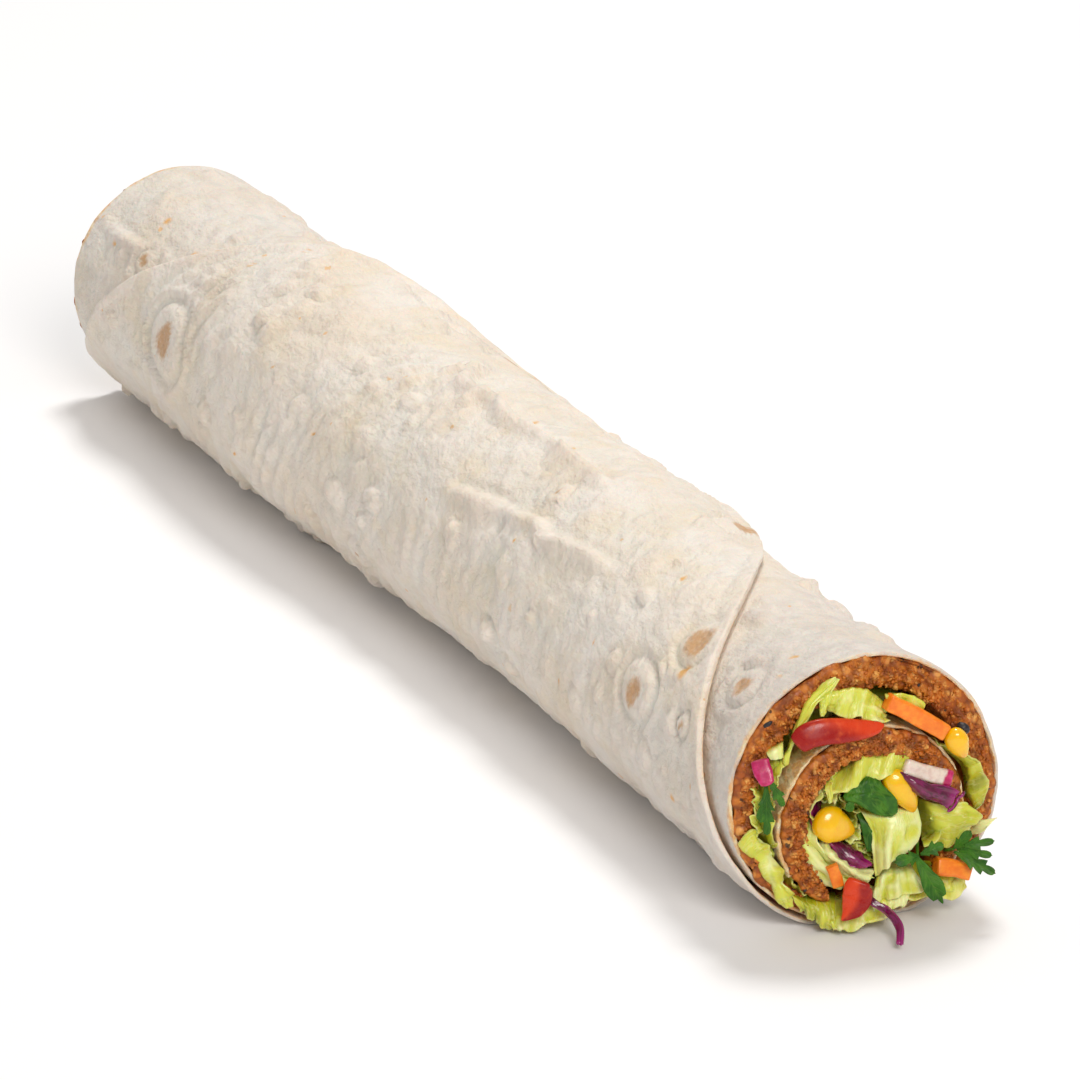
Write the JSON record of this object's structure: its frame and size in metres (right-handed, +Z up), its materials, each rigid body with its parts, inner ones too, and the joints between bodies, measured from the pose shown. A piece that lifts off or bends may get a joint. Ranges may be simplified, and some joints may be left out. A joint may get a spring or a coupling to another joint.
{
  "type": "falafel wrap",
  "caption": "Long flatbread roll spread with falafel paste and filled with lettuce, pepper, carrot, corn, red cabbage, radish and parsley, cut square at its end.",
  "frame": {"origin": "middle of the flat strip on the underside, where the roll rests", "axes": "+X along the roll to the cut end that shows its filling, +Z up, -Y the side that faces the viewer's left"},
  "size_m": [0.3985, 0.0631, 0.0613],
  "materials": {
    "bread": "soft pale flatbread, matte, floury, with toasted blisters",
    "falafel": "coarse moist brown paste of ground chickpea",
    "lettuce": "thin crisp leaf, pale yellow-green, slightly glossy",
    "pepper": "raw red pepper, glossy skin",
    "carrot": "raw cut carrot, slightly moist",
    "corn": "cooked corn kernel, glossy",
    "cabbage": "raw red cabbage, purple with pale edges",
    "radish": "raw white radish flesh",
    "radish_skin": "magenta radish skin",
    "herb": "flat-leaf parsley, dark green"
  },
  "bodies": {
    "root": {"flatbread": "bread", "falafel_layer": "falafel", "lettuce_heart": "lettuce", "lettuce_fold": "lettuce", "pepper_strip": "pepper", "pepper_wedge": "pepper", "pepper_far": "pepper", "carrot_top": "carrot", "carrot_right": "carrot", "carrot_chip": "carrot", "carrot_far": "carrot", "corn_1": "corn", "corn_2": "corn", "corn_3": "corn", "corn_far_1": "corn", "corn_far_2": "corn", "red_cabbage_right": "cabbage", "red_cabbage_left": "cabbage", "red_cabbage_strand": "cabbage", "red_cabbage_far": "cabbage", "radish_slice": "radish", "radish_chip": "radish_skin", "parsley_right": "herb", "parsley_low": "herb", "parsley_left": "herb", "green_leaf_middle": "herb"}
  },
  "joints": []
}
